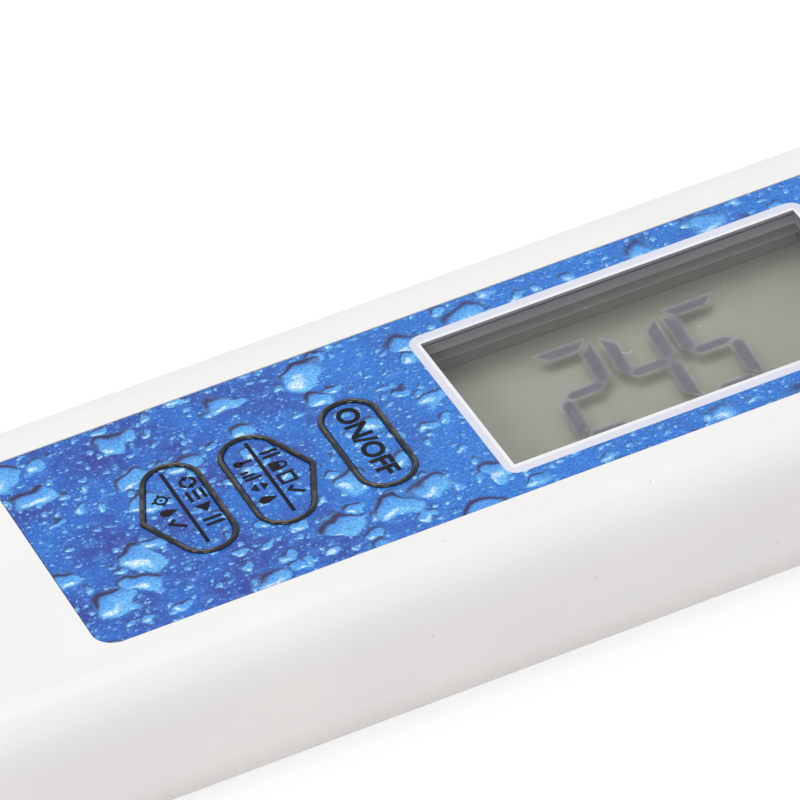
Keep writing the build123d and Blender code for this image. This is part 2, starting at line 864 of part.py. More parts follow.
contact_end = cell_centre + cell_radius
for name, side in (("battery_plate", 1), ("battery_spring_plate", -1)):
    with BuildPart() as contact:
        face = side * (bay_length / 2 - contact_thickness)
        with BuildSketch(Plane.XY.offset(board_top)):
            with Locations((contact_start, face)):
                Rectangle(
                    contact_end - contact_start,
                    contact_thickness,
                    align=(Align.MIN, Align.MIN if side > 0 else Align.MAX),
                )
        extrude(amount=contact_height)
        with BuildSketch(Plane(origin=(cell_centre, face, middle_height), z_dir=(0, side, 0))):
            Circle(cell_radius - 2 * cell_gap)
        extrude(amount=contact_thickness)
    save(contact, name)

spring_start = -bay_length / 2 + contact_thickness
cell_start = spring_start + spring_length
with BuildPart() as battery_spring:
    with BuildSketch(Plane.XY.offset(middle_height - spring_width / 2)):
        with BuildLine():
            for foot, crown in (
                (spring_start, cell_start),
                (spring_start - spring_thickness, cell_start - spring_thickness),
            ):
                ThreePointArc(
                    (cell_centre - spring_span / 2, foot),
                    (cell_centre, crown),
                    (cell_centre + spring_span / 2, foot),
                )
            for side in (1, -1):
                end = cell_centre + side * spring_span / 2
                Line((end, spring_start), (end, spring_start - spring_thickness))
        make_face()
        with Locations((cell_centre, spring_start)):
            Rectangle(
                2 * spring_span, spring_span, align=(Align.CENTER, Align.MAX), mode=Mode.SUBTRACT
            )
    extrude(amount=spring_width)
save(battery_spring, "battery_spring")

with BuildPart() as battery_cells:
    for index in range(cell_count):
        start = cell_start + index * cell_thickness
        with BuildSketch(Plane(origin=(cell_centre, start, middle_height), z_dir=(0, 1, 0))):
            Circle(cell_radius)
        extrude(amount=cell_thickness - contact_slot_gap)
save(battery_cells, "battery_cells")


def cut_grips(first, mouth, mouth_width, slope):
    """Cut upright grip grooves into the flat of both sides of a cap."""
    with BuildSketch(Plane.XY.offset(body_corner + grip_margin)) as grooves:
        for index in range(grip_count):
            x = first + index * grip_pitch
            side = mouth_width / 2 + slope * (x - mouth) + grip_radius - grip_depth
            with Locations((x, side), (x, -side)):
                Circle(grip_radius)
    extrude(grooves.sketch, amount=body_thickness - 2 * (body_corner + grip_margin), mode=Mode.SUBTRACT)


with BuildPart() as battery_cap:
    add(battery_form(0))
    add(battery_form(battery_cap_wall), mode=Mode.SUBTRACT)
    cut_grips(battery_mouth + battery_grip_setback, battery_mouth, body_width, 0)
save(battery_cap, "battery_cap")

# Probe holder: flange, collar, nose and spigot, with the bores of the sensors
collar_end = housing_start - collar_length
nose_end = collar_end - nose_length
spigot_end = nose_end - spigot_length
potting_start = housing_start + probe_flange_length - potting_length
cap_seal_start = collar_end + seal_ring_setback
spigot_width = nose_width - 2 * spigot_step
spigot_thickness = nose_thickness - 2 * spigot_step
pin_places = [(pin_offset, side * pin_spread / 2) for side in (1, -1)]
collar_form = protective_form(cap_wall + cap_fit, reach=part_gap)
collar_groove_floor = protective_form(cap_wall + cap_fit + groove_depth)
cap_seal_outer = protective_form(cap_wall + cap_seal_fit)

with BuildPart() as cap_seal_groove:
    add(collar_form)
    add(collar_groove_floor, mode=Mode.SUBTRACT)
    keep_between(cap_seal_start, cap_seal_start + seal_ring_width)

with BuildPart() as cap_seal:
    add(cap_seal_outer)
    add(collar_groove_floor, mode=Mode.SUBTRACT)
    keep_between(cap_seal_start, cap_seal_start + seal_ring_width)
save(cap_seal, "cap_seal")

with BuildPart() as probe_holder:
    add(collar_form)
    keep_between(collar_end, housing_start)
    add(cap_seal_groove.part, mode=Mode.SUBTRACT)
    with BuildSketch(cross_plane(housing_start)):
        draw_opening(neck_inner - 2 * neck_fit, inner_thickness - 2 * neck_fit, inner_corner - neck_fit)
    extrude(amount=probe_flange_length)
    with BuildSketch(cross_plane(probe_retainer - neck_fit)):
        Rectangle(2 * body_width, 2 * body_thickness)
        draw_opening(
            neck_inner - 2 * (retainer_height + neck_fit),
            inner_thickness - 2 * (retainer_height + neck_fit),
            inner_corner - retainer_height - neck_fit,
            Mode.SUBTRACT,
        )
    extrude(amount=rib_thickness + 2 * neck_fit, mode=Mode.SUBTRACT)
    with BuildSketch(cross_plane(nose_end)):
        SlotOverall(nose_width, nose_thickness)
    extrude(amount=nose_length)
    with BuildSketch(cross_plane(spigot_end)):
        SlotOverall(spigot_width, spigot_thickness)
    extrude(amount=spigot_length)
    with BuildSketch(cross_plane(potting_start)):
        RectangleRounded(potting_width, potting_thickness, board_corner)
    extrude(amount=potting_length, mode=Mode.SUBTRACT)
    with BuildSketch(cross_plane(spigot_end)):
        with Locations((electrode_offset, 0)):
            Circle(electrode_radius + electrode_fit)
        with Locations((junction_offset, 0)):
            Circle(junction_radius + electrode_fit)
        with Locations(*pin_places):
            Circle(pin_radius + electrode_fit)
        with Locations((sensor_offset, 0)):
            Circle(sensor_radius + electrode_fit)
    extrude(amount=potting_start - spigot_end, mode=Mode.SUBTRACT)
save(probe_holder, "probe_holder")

with BuildPart() as probe_potting:
    with BuildSketch(cross_plane(potting_start)):
        RectangleRounded(potting_width, potting_thickness, board_corner)
    extrude(amount=potting_length)
save(probe_potting, "probe_potting")

with BuildPart() as probe_guard:
    guard_start = spigot_end - guard_length
    with BuildSketch(cross_plane(guard_start)):
        SlotOverall(nose_width, nose_thickness)
        SlotOverall(spigot_width + 2 * guard_fit, spigot_thickness + 2 * guard_fit, mode=Mode.SUBTRACT)
    extrude(amount=nose_end - guard_start)
    with BuildSketch(Plane.XY):
        with Locations((guard_start + guard_bridge, 0)):
            with GridLocations(0, guard_slot_pitch, 1, guard_slot_count):
                Rectangle(
                    guard_length - 2 * guard_bridge, guard_slot_width, align=(Align.MIN, Align.CENTER)
                )
    extrude(amount=body_thickness, mode=Mode.SUBTRACT)
save(probe_guard, "probe_guard")

# pH electrode: a glass tube that ends in a thin bulb
bulb_centre = spigot_end - electrode_reach - bulb_radius / 2
with BuildPart() as ph_electrode:
    axis = Axis((bulb_centre, electrode_offset, middle_height), (1, 0, 0))
    side_plane = Plane(origin=(bulb_centre, electrode_offset, middle_height), z_dir=(0, 0, 1))
    tube_length = potting_start - bulb_centre
    with BuildSketch(side_plane):
        Circle(bulb_radius)
        Rectangle(tube_length, electrode_radius, align=(Align.MIN, Align.MIN))
        Circle(bulb_radius - bulb_wall, mode=Mode.SUBTRACT)
        Rectangle(
            tube_length,
            electrode_radius - electrode_wall,
            align=(Align.MIN, Align.MIN),
            mode=Mode.SUBTRACT,
        )
        Rectangle(2 * tube_length, 2 * tube_length, align=(Align.CENTER, Align.MAX), mode=Mode.SUBTRACT)
    revolve(axis=axis)
save(ph_electrode, "ph_electrode")

with BuildPart() as ph_inner_wire:
    wire_tip = bulb_centre + inner_wire_reach
    with BuildSketch(cross_plane(wire_tip)):
        with Locations((electrode_offset, 0)):
            Circle(inner_wire_radius)
    extrude(amount=potting_start - wire_tip)
save(ph_inner_wire, "ph_inner_wire")

for name, places, radius, reach in (
    ("reference_junction", [(junction_offset, 0)], junction_radius, junction_proud),
    ("conductivity_pins", pin_places, pin_radius, pin_reach),
    ("temperature_sensor", [(sensor_offset, 0)], sensor_radius, sensor_reach),
):
    with BuildPart() as sensor:
        with BuildSketch(cross_plane(spigot_end - reach)):
            with Locations(*places):
                Circle(radius)
        extrude(amount=potting_start - spigot_end + reach)
        tips = sensor.faces().filter_by(Axis.X).group_by(Axis.X)[0]
        chamfer(tips.edges(), length=tip_chamfer)
    save(sensor, name)

# Flat lead from the potting to the board's socket
lead_start = potting_start + potting_length
lead_height = board_top + socket_height / 2
with BuildPart() as probe_leads:
    with BuildLine():
        lead = FilletPolyline(
            (lead_start, 0, middle_height),
            (lead_start + lead_run, 0, middle_height),
            (socket_start - lead_run, 0, lead_height),
            (socket_start, 0, lead_height),
            radius=lead_bend,
        )
    with BuildSketch(cross_plane(lead_start)):
        Rectangle(lead_width, lead_thickness)
    sweep(path=lead)
save(probe_leads, "probe_leads")

# Protective cap and the wet sponge at its bottom
cap_inner_end = cap_tip + cap_end_wall
cap_slope = (neck_width - cap_tip_width) / 2 / cap_length
with BuildPart() as cap_cavity:
    add(protective_form(cap_wall))
    keep_between(cap_inner_end, cap_mouth)

with BuildPart() as protective_cap:
    add(protective_form(0))
    add(cap_cavity.part, mode=Mode.SUBTRACT)
    cut_grips(cap_tip + grip_setback, cap_mouth, neck_width, cap_slope)
save(protective_cap, "protective_cap")

with BuildPart() as storage_sponge:
    add(protective_form(cap_wall + sponge_gap))
    keep_between(cap_inner_end, cap_inner_end + sponge_length)
save(storage_sponge, "storage_sponge")
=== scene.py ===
"""The looks of a pen-shaped water quality tester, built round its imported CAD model.

Sizes are in millimetres until they go into a mesh, which is in metres. +X runs from the probe to the
battery end and +Z is up, as in the CAD model.
"""

import math

import bpy
import numpy as np
from mathutils import Matrix, Vector


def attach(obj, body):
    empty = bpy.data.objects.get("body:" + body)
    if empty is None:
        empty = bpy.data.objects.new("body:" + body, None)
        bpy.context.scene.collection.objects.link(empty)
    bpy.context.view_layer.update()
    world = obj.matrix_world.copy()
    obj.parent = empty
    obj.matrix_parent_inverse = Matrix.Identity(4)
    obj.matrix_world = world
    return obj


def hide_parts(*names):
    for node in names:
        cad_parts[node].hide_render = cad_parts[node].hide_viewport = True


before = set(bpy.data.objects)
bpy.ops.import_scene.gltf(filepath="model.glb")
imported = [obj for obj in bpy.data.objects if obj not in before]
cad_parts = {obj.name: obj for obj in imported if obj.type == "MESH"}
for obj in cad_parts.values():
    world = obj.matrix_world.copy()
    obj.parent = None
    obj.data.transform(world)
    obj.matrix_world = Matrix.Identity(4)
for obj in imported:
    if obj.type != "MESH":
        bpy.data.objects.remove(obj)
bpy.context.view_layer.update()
MM = 0.001

# Places that the printed and moulded details share with the CAD model, in millimetres
FILM_TOP = 14.45
KEY_Y = -0.6
KEY_HEIGHT = 13.35
KEYS = {"power": 12.6, "hold": 4.2, "mode": -4.62}
WINDOW = (21.9, 57.35, -10.08, 9.72)

# The raised outline round a key is a half-round bead of this radius
BEAD = 0.25

# Printing stands this far above the film
PRINT = 0.015


class Nodes:
    """The node tree of a material or a world, written as calls that mostly return sockets."""

    def __init__(self, name, world=False):
        self.owner = (bpy.data.worlds if world else bpy.data.materials).new(name)
        self.owner.use_nodes = True
        self.output = "OutputWorld" if world else "OutputMaterial"
        self.tree = self.owner.node_tree
        self.tree.nodes.clear()

    def add(self, kind, inputs=None, **settings):
        node = self.tree.nodes.new("ShaderNode" + kind)
        for name, value in settings.items():
            setattr(node, name, value)
        for name, value in (inputs or {}).items():
            self.feed(node.inputs[name], value)
        return node

    def feed(self, socket, value):
        if isinstance(value, bpy.types.NodeSocket):
            self.tree.links.new(value, socket)
        else:
            socket.default_value = value

    def math(self, operation, first, second=0.0, third=0.0, clamp=False):
        given = {0: first, 1: second, 2: third}
        return self.add("Math", given, operation=operation, use_clamp=clamp).outputs[0]

    def vector(self, operation, first, second=(0, 0, 0), scale=1.0):
        # The scale is input 3, which can't be found by its name while the operation doesn't use it
        node = self.add("VectorMath", {0: first, 1: second, 3: scale}, operation=operation)
        return node.outputs["Value" if operation == "LENGTH" else "Vector"]

    def part(self, vector, axis):
        """One coordinate of a vector: 0 runs along the body, 1 across it and 2 up."""
        return self.add("SeparateXYZ", {0: vector}).outputs[axis]

    def mix(self, share, first, second, how="MIX"):
        # Inputs 6 and 7 and output 2 are the ones for colours
        node = self.add("Mix", data_type="RGBA", blend_type=how)
        for index, value in ((0, share), (6, first), (7, second)):
            if index and isinstance(value, tuple):
                value = (*value, 1)
            self.feed(node.inputs[index], value)
        return node.outputs[2]

    def step(self, value, low, high, start=0.0, end=1.0, smooth=True):
        """What goes from start to end while the value goes from low to high, and stays there beyond."""
        kind = "SMOOTHSTEP" if smooth else "LINEAR"
        given = {"Value": value, "From Min": low, "From Max": high, "To Min": start, "To Max": end}
        return self.add("MapRange", given, interpolation_type=kind).outputs["Result"]

    def place(self):
        """Where the point is on the object, in millimetres."""
        return self.vector("SCALE", self.add("TexCoord").outputs["Object"], scale=1 / MM)

    def noise(self, place, size, detail=2.0, rough=0.5):
        given = {"Vector": place, "Scale": 1 / size, "Detail": detail, "Roughness": rough}
        return self.add("TexNoise", given).outputs["Fac"]

    def bump(self, height, depth):
        return self.add("Bump", {"Height": height, "Distance": depth * MM}).outputs["Normal"]

    def finish(self, shader):
        """The material or world, once this shader node is what shows."""
        self.add(self.output, {"Surface": shader.outputs[0]})
        return self.owner

    def solid(self, given):
        """The finished material, as one everyday shader with these inputs."""
        return self.finish(self.add("BsdfPrincipled", given))

    def blend(self, share, first, second):
        """The finished material or world, with that share of the second shader over the first."""
        return self.finish(self.add("MixShader", {0: share, 1: first.outputs[0], 2: second.outputs[0]}))


def surface(name, colour, other, rough, grain=0.2, depth=0.004, broad=14.0, **plain):
    """Moulded, rubbed or plated stock: two colours in broad clouds, and a fine grain."""
    n = Nodes(name)
    place = n.place()
    cloud = n.noise(place, broad, 3)
    fine = n.noise(place, grain, 3)
    given = {
        "Base Color": n.mix(n.step(cloud, 0.35, 0.65), colour, other),
        "Roughness": n.step(fine, 0.3, 0.7, rough[0], rough[1], smooth=False),
        "Normal": n.bump(fine, depth),
    }
    given.update({key.replace("_", " "): value for key, value in plain.items()})
    return n.solid(given)


def see_through(name, tint, mirror, rough, grain):
    """A clear sheet: it lets light through straight and mirrors more of it at a slant."""
    n = Nodes(name)
    place = n.place()
    slant = n.math("POWER", n.add("LayerWeight", {"Blend": 0.5}).outputs["Facing"], 5.0)
    share = n.math("MULTIPLY_ADD", slant, 1 - mirror, mirror)
    haze = n.step(n.noise(place, grain, 4), 0.4, 0.8, rough[0], rough[1])
    gloss = n.add("BsdfGlossy", {"Roughness": haze})
    clear = n.add("BsdfTransparent", {"Color": (*tint, 1)})
    return n.blend(share, clear, gloss)


def drops(n, place, cell, seed, share, radii, sway, soft):
    """One scatter of water drops: their bodies, the dark rims on their far side, and their glints.

    It also returns how far each point is from the middle of its drop, which the caller shades by.
    """
    moved = n.vector("ADD", place, (seed * 37.1, seed * 11.7, 0))
    given = {"Vector": moved, "Scale": 1.6 / cell, "Detail": 1.5}
    wander = n.add("TexNoise", given, noise_dimensions="2D").outputs["Color"]
    wander = n.vector("SCALE", n.vector("SUBTRACT", wander, (0.5, 0.5, 0.5)), scale=sway * cell)
    spread = n.vector("SCALE", n.vector("ADD", moved, wander), scale=1 / cell)
    given = {"Vector": spread, "Scale": 1.0, "Randomness": 0.95}
    scatter = n.add("TexVoronoi", given, voronoi_dimensions="2D")
    draws = n.add("SeparateColor", {"Color": scatter.outputs["Color"]}).outputs

    # A cell that holds no drop gets a radius of -1, which no point is inside
    size = n.step(draws[0], 0, 1, *radii, smooth=False)
    kept = n.math("LESS_THAN", draws[1], share)
    radius = n.math("SUBTRACT", n.math("MULTIPLY", n.math("ADD", size, 1.0), kept), 1.0)
    stretch = n.add("CombineXYZ", {
        0: n.step(draws[2], 0, 1, 0.85, 1.35, smooth=False),
        1: n.step(draws[2], 0, 1, 1.1, 0.8, smooth=False),
    }).outputs[0]
    apart = n.vector("SUBTRACT", spread, scatter.outputs["Position"])
    apart = n.vector("MULTIPLY", apart, stretch)
    soft_low = n.math("MULTIPLY", soft, -1.0)

    def inside(offset, size_share, squash=(1, 1, 1)):
        shift = n.vector("SCALE", offset, scale=radius)
        reach = n.vector("LENGTH", n.vector("MULTIPLY", n.vector("SUBTRACT", apart, shift), squash))
        gap = n.math("SUBTRACT", n.math("MULTIPLY", radius, size_share), reach)
        return n.step(gap, soft_low, soft)

    body = inside((0, 0, 0), 1.0)
    rim = n.math("SUBTRACT", body, inside((0.06, -0.42, 0), 1.0), clamp=True)
    glint = inside((-0.3, -0.5, 0), 0.3, (0.8, 1.5, 1))
    return body, rim, glint, apart


# The film's scatters of drops, the finest first. Each has the size of a cell and a seed, the share of the
# cells that hold a drop, the smallest and largest radius in cells, how far the drops are pushed out of
# shape, and how strongly they are printed
SCATTERS = (
    (0.55, 1, 0.5, (0.12, 0.34), 0.5, 0.55),
    (1.15, 2, 0.5, (0.14, 0.36), 0.6, 0.8),
    (2.4, 3, 0.55, (0.16, 0.38), 0.65, 0.95),
    (5.2, 4, 0.62, (0.2, 0.4), 0.6, 1.0),
)


def printed_film():
    """A glossy film printed with water drops of several sizes on blue."""
    n = Nodes("printed_film")
    place = n.place()
    along = n.part(place, 0)
    flat = n.add("CombineXYZ", {0: along, 1: n.part(place, 1)}).outputs[0]
    haze = n.noise(flat, 7.0, 3)
    mottle = n.noise(flat, 1.1, 4, 0.65)
    grain = n.noise(flat, 0.26, 3, 0.75)
    violet, blue, sky = (0.022, 0.05, 0.34), (0.014, 0.11, 0.52), (0.025, 0.23, 0.74)
    pale_mottle, ink_rim, white_glint = (0.07, 0.29, 0.82), (0.025, 0.012, 0.07), (0.62, 0.85, 1.0)

    # The ground goes from violet to blue in clouds, and turns to sky blue towards the battery end
    colour = n.mix(n.step(haze, 0.35, 0.62), violet, blue)
    clouds = n.math("MULTIPLY", n.step(haze, 0.35, 0.7), 0.5)
    far = n.math("ADD", n.step(along, -4, 26), clouds, clamp=True)
    colour = n.mix(n.math("MULTIPLY", far, 0.55), colour, sky)
    colour = n.mix(n.step(mottle, 0.45, 0.75, 0, 0.55), colour, pale_mottle)
    soft = n.step(along, 8, 40, 0.05, 0.11)
    for cell, seed, share, radii, sway, strength in SCATTERS:
        body, rim, glint, apart = drops(n, flat, cell, seed, share, radii, sway, soft)
        fill = n.mix(n.step(n.part(apart, 1), 0.3, -0.3), (0.05, 0.26, 0.78), (0.13, 0.48, 0.93))
        colour = n.mix(n.math("MULTIPLY", body, 0.9 * strength), colour, fill)
        colour = n.mix(n.math("MULTIPLY", rim, 0.95 * strength), colour, ink_rim)
        colour = n.mix(n.math("MULTIPLY", glint, 0.8 * strength), colour, white_glint)
    speckle = n.mix(n.step(grain, 0.3, 0.7), (0.50, 0.60, 0.74), (1.6, 1.4, 1.2))
    return n.solid({
        "Base Color": n.mix(1.0, colour, speckle, "MULTIPLY"),
        "Roughness": n.step(grain, 0.3, 0.7, 0.34, 0.46, smooth=False),
        "Normal": n.bump(grain, 0.004),
        "Specular IOR Level": 0.35,
    })


def reflector_sheet():
    """The display's grey-green backing, with a faint satin grain and painted shadow on its far side."""
    n = Nodes("reflector")
    place = n.place()
    fine = n.noise(place, 0.25, 4, 0.6)
    cloud = n.noise(place, 9.0, 2)
    colour = n.mix(n.step(cloud, 0.3, 0.7), (0.36, 0.38, 0.31), (0.385, 0.405, 0.33))
    colour = n.mix(n.step(fine, 0.3, 0.7, 0, 0.12), colour, (0.28, 0.29, 0.26))
    # Painted shadow: darker towards the far side, where the window's far edge shades the backing
    colour = n.mix(n.step(n.part(place, 1), 4.0, 10.4, 0, 0.72), colour, (0.22, 0.235, 0.20))
    return n.solid({
        "Base Color": colour,
        "Roughness": n.step(fine, 0.3, 0.7, 0.5, 0.65, smooth=False),
        "Normal": n.bump(fine, 0.003),
    })


def glossy_outline():
    """Poured black resin: glossy flanks, and a painted highlight in brownish, uneven patches along the
    crown.
    """
    n = Nodes("key_outline")
    place = n.place()
    uneven = n.noise(place, 1.6, 3)
    top = FILM_TOP + BEAD
    # Painted highlight: a lighter brownish tone in patches along the top of the bead
    painted_crown_highlight = n.math("MULTIPLY", n.step(n.part(place, 2), top - 0.06, top - 0.01), n.step(uneven, 0.42, 0.62))
    return n.solid({
        "Base Color": n.mix(painted_crown_highlight, (0.003, 0.003, 0.004), (0.07, 0.06, 0.053)),
        "Roughness": n.step(uneven, 0.3, 0.7, 0.06, 0.14, smooth=False),
        "Normal": n.bump(n.noise(place, 0.7, 2), 0.01),
        "IOR": 1.55,
    })


def moulded_white(name, colour, other):
    """White satin plastic with a broad tint, faint lengthwise rub marks and a few tiny specks."""
    n = Nodes(name)
    place = n.place()
    fine = n.noise(place, 0.12, 3)
    rubbed = n.noise(n.vector("MULTIPLY", place, (0.05, 1, 1)), 0.9, 3, 0.6)
    speck = n.step(n.noise(place, 0.5, 1), 0.79, 0.83)
    shade = n.mix(n.step(n.noise(place, 14.0, 3), 0.35, 0.65), colour, other)
    shade = n.mix(n.step(rubbed, 0.62, 0.8, 0, 0.12), shade, (0.66, 0.63, 0.60))
    shade = n.mix(n.math("MULTIPLY", speck, 0.45), shade, (0.42, 0.33, 0.26))
    return n.solid({
        "Base Color": shade,
        "Roughness": n.step(rubbed, 0.35, 0.75, 0.34, 0.46, smooth=False),
        "Normal": n.bump(fine, 0.0012),
        "Specular IOR Level": 0.45,
    })


# Each has its two colours and its lowest and highest roughness, and then, where they differ from the usual
# ones, the grain's size and depth and the size of the clouds
PLAIN_STOCK = {
    "bezel_grey": ((0.30, 0.295, 0.33), (0.275, 0.27, 0.305), (0.5, 0.62), 0.2, 0.002),
    "holder_plastic": ((0.50, 0.515, 0.45), (0.47, 0.485, 0.43), (0.45, 0.6)),
    "strip_rubber": ((0.29, 0.305, 0.27), (0.26, 0.275, 0.245), (0.6, 0.75)),
    "board": ((0.01, 0.12, 0.04), (0.015, 0.16, 0.05), (0.3, 0.45), 0.3),
    "chip": ((0.02, 0.02, 0.021), (0.028, 0.028, 0.03), (0.5, 0.65), 0.08),
    "component": ((0.35, 0.26, 0.16), (0.05, 0.05, 0.055), (0.35, 0.5), 0.1, 0.004, 2.0),
    "switch_body": ((0.03, 0.03, 0.032), (0.04, 0.04, 0.042), (0.4, 0.55)),
    "switch_stem": ((0.5, 0.05, 0.03), (0.42, 0.04, 0.03), (0.4, 0.5)),
    "connector": ((0.75, 0.72, 0.64), (0.70, 0.67, 0.6), (0.4, 0.5)),
    "lead": ((0.22, 0.22, 0.23), (0.18, 0.18, 0.19), (0.4, 0.55)),
    "seal": ((0.025, 0.025, 0.026), (0.035, 0.035, 0.036), (0.5, 0.7), 0.1),
    "dark_plastic": ((0.035, 0.036, 0.04), (0.045, 0.046, 0.05), (0.4, 0.52), 0.12, 0.003),
    "potting": ((0.03, 0.028, 0.025), (0.04, 0.036, 0.03), (0.25, 0.4)),
    "junction": ((0.78, 0.76, 0.70), (0.72, 0.70, 0.64), (0.7, 0.85), 0.08, 0.01),
    "sponge": ((0.80, 0.70, 0.36), (0.72, 0.60, 0.28), (0.85, 0.95), 0.5, 0.12, 4.0),
}
METAL_STOCK = {
    "can": ((0.62, 0.62, 0.60), (0.55, 0.55, 0.54), (0.25, 0.4), 0.15),
    "screw": ((0.58, 0.57, 0.55), (0.50, 0.49, 0.48), (0.22, 0.38), 0.1),
    "cell": ((0.66, 0.65, 0.63), (0.58, 0.57, 0.56), (0.18, 0.32), 0.12),
    "contact": ((0.70, 0.66, 0.58), (0.62, 0.58, 0.5), (0.2, 0.35), 0.15),
    "silver_wire": ((0.75, 0.74, 0.72), (0.5, 0.49, 0.5), (0.25, 0.4), 0.1),
    "pin": ((0.60, 0.59, 0.57), (0.54, 0.53, 0.52), (0.16, 0.3), 0.1),
}

# Each has its tint, how much it mirrors straight on, its lowest and highest roughness and the haze's size
CLEAR_STOCK = {
    "clear_pane": ((0.99, 0.99, 0.99), 0.04, (0.02, 0.10), 3.0),
    "display_glass": ((0.985, 0.99, 0.985), 0.006, (0.05, 0.12), 2.0),
    "electrode_glass": ((0.96, 0.98, 0.97), 0.05, (0.02, 0.06), 3.0),
}
MATERIALS = {
    "white_shell": moulded_white("white_shell", (0.84, 0.838, 0.836), (0.82, 0.82, 0.82)),
    "white_cap": moulded_white("white_cap", (0.83, 0.828, 0.826), (0.81, 0.81, 0.81)),
    "printed_film": printed_film(),
    "key_outline": glossy_outline(),
    "reflector": reflector_sheet(),
}
MATERIALS |= {name: surface(name, *given) for name, given in PLAIN_STOCK.items()}
MATERIALS |= {name: surface(name, *given, Metallic=1.0) for name, given in METAL_STOCK.items()}
MATERIALS |= {name: see_through(name, *given) for name, given in CLEAR_STOCK.items()}

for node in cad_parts.values():
    for index, slot in enumerate(node.material_slots):
        node.data.materials[index] = MATERIALS[slot.material.name.split(".")[0]]


def make_piece(name, shapes, material, body, smooth=False):
    """One mesh from several (points, faces) in millimetres, riding on a body."""
    points, faces = [], []
    for more, sides in shapes:
        faces += [tuple(i + len(points) for i in side) for side in sides]
        points += more
    mesh = bpy.data.meshes.new(name)
    mesh.from_pydata([tuple(c * MM for c in p) for p in points], [], faces)
    mesh.polygons.foreach_set("use_smooth", [smooth] * len(mesh.polygons))
    mesh.materials.append(material)
    piece = bpy.data.objects.new(name, mesh)
    bpy.context.scene.collection.objects.link(piece)
    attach(piece, body)
    return piece


def skin(loops, ring=False):
    """A surface through (outline, height) loops, shut at both ends or joined into a ring."""
    count = len(loops[0][0])
    points = [(x, y, z) for outline, z in loops for x, y in outline]
    faces = []
    for row in range(len(loops) if ring else len(loops) - 1):
        low, high = row * count, (row + 1) % len(loops) * count
        faces += [(low + i, low + (i + 1) % count, high + (i + 1) % count, high + i) for i in range(count)]
    if not ring:
        faces += [tuple(range(count - 1, -1, -1)), tuple(range(len(points) - count, len(points)))]
    return points, faces


def slab(outline, low, high):
    """A flat shape that stands straight up from one height to another."""
    return skin([(outline, low), (outline, high)])


def rectangle(low_x, high_x, low_y, high_y):
    return [(low_x, low_y), (high_x, low_y), (high_x, high_y), (low_x, high_y)]


def box_outline(low_x, high_x, low_y, high_y, radius, steps=6):
    """A rectangle with rounded corners, counterclockwise."""
    outline = []
    for cx, cy, start in (
        (high_x - radius, high_y - radius, 0),
        (low_x + radius, high_y - radius, 90),
        (low_x + radius, low_y + radius, 180),
        (high_x - radius, low_y + radius, 270),
    ):
        for k in range(steps + 1):
            turn = math.radians(start + 90 * k / steps)
            outline.append((cx + radius * math.cos(turn), cy + radius * math.sin(turn)))
    return outline


def counterclockwise(outline):
    area = sum(a[0] * b[1] - b[0] * a[1] for a, b in zip(outline[-1:] + outline, outline))
    return outline if area > 0 else outline[::-1]


def band(line, width):
    """The outline of a band of that width along an open line, with mitred corners."""
    line = [Vector(p) for p in line]
    left, right = [], []
    for i, spot in enumerate(line):
        before = (spot - line[max(i - 1, 0)]).normalized() if i else None
        after = (line[i + 1] - spot).normalized() if i + 1 < len(line) else None
        way = ((before or after) + (after or before)).normalized()
        side = Vector((-way.y, way.x))
        along = before or after
        stretch = width / 2 / max(side.dot(Vector((-along.y, along.x))), 0.4)
        left.append(tuple(spot + side * stretch))
        right.append(tuple(spot - side * stretch))
    return left + right[::-1]


def arc(x, y, radius, start, end, steps=12):
    """Points along part of a circle, between two turns in degrees."""
    turns = [math.radians(start + (end - start) * k / steps) for k in range(steps + 1)]
    return [(x + radius * math.cos(t), y + radius * math.sin(t)) for t in turns]


# A key's corners are rounded to this radius. The two keys in the shape of a shield have their straight side
# SHIELD_BACK away from their place, and a small round tip with its middle SHIELD_TIP beyond that side
KEY_CORNER = 2.75
SHIELD_BACK, SHIELD_TIP, TIP_RADIUS = 3.6, 6.6, 0.6


def key_circles(key):
    """The circles whose common hull is a key's outline: (x, y, radius)."""
    x = KEYS[key]
    reach = KEY_HEIGHT / 2 - KEY_CORNER
    if key == "power":
        return [(x, KEY_Y + reach, KEY_CORNER), (x, KEY_Y - reach, KEY_CORNER)]
    way = 1 if key == "hold" else -1
    flat = x - way * SHIELD_BACK
    ends = [(flat + way * KEY_CORNER, KEY_Y + side * reach, KEY_CORNER) for side in (1, -1)]
    return [*ends, (flat + way * SHIELD_TIP, KEY_Y, TIP_RADIUS)]


def key_bead(key, around=240, across=12):
    """A smooth bead round a key, half round and half a millimetre wide."""
    loops = [([], FILM_TOP + BEAD * math.sin(math.pi * j / across)) for j in range(across + 1)]
    for i in range(around):
        turn = 2 * math.pi * i / around
        out = Vector((math.cos(turn), math.sin(turn)))
        x, y, r = max(key_circles(key), key=lambda c: c[0] * out.x + c[1] * out.y + c[2])
        for j, (outline, _) in enumerate(loops):
            reach = r - BEAD + BEAD * math.cos(math.pi * j / across)
            outline.append((x + out.x * reach, y + out.y * reach))
    return skin(loops, ring=True)


bead_loops = [key_bead(key) for key in KEYS]
beads = make_piece(
    "rim_beads", bead_loops, MATERIALS["key_outline"], "housing", smooth=True
)
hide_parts("key_rims")

dark, darker = (0.009, 0.009, 0.013), (0.005, 0.005, 0.008)
ink = surface("ink", darker, dark, (0.45, 0.6), 0.1, 0.001, Specular_IOR_Level=0.15)
pale_ink = surface("pale_ink", (0.66, 0.68, 0.79), (0.69, 0.71, 0.81), (0.38, 0.5), 0.15, 0.002)
# White ink for the frame's raised line, partly print and partly a painted highlight along its edge
white_highlight_ink = surface("white_highlight_ink", (0.80, 0.80, 0.84), (0.84, 0.84, 0.87), (0.35, 0.45), 0.15, 0.002)


def printed(name, outlines, body):
    """Thin black printing on top of the film or a key."""
    shapes = [slab(counterclockwise(outline), FILM_TOP, FILM_TOP + PRINT) for outline in outlines]
    make_piece(name, shapes, ink, body)


